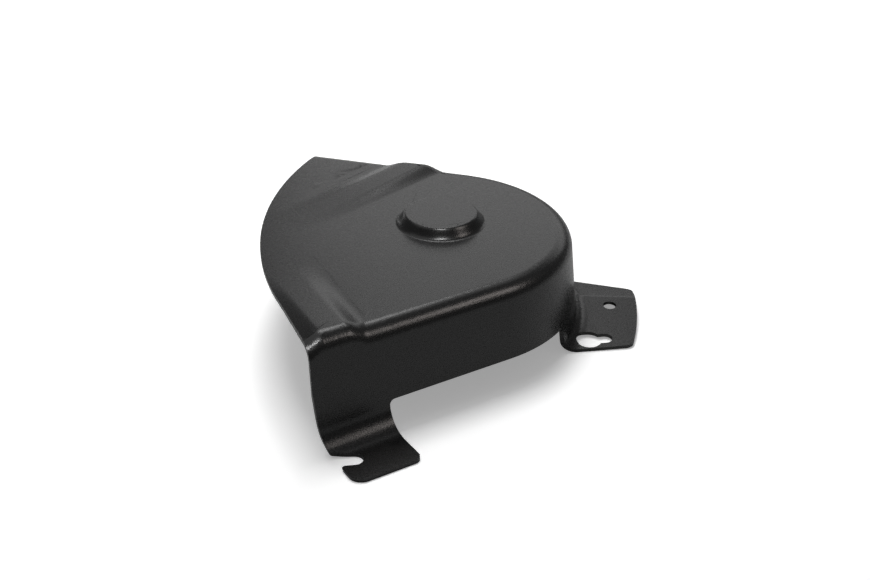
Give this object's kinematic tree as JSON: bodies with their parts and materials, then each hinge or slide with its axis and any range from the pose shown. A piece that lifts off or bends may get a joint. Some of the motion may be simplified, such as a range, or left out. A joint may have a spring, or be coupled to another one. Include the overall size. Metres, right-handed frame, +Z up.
{
  "type": "belt cover",
  "caption": "Pressed steel belt cover with a rounded nose, round boss, two fading ribs, a slotted foot and a folded tab with a keyhole.",
  "frame": {"origin": "centre of the bounding box, on the surface that the cover rests on", "axes": "+Z up out of the panel, +X towards the rounded nose and its tab, -Y towards the slotted foot"},
  "size_m": [0.2188, 0.2696, 0.0655],
  "materials": {
    "black_coat": "fine-textured satin black coat"
  },
  "bodies": {
    "root": {"belt_cover": "black_coat"}
  },
  "joints": []
}
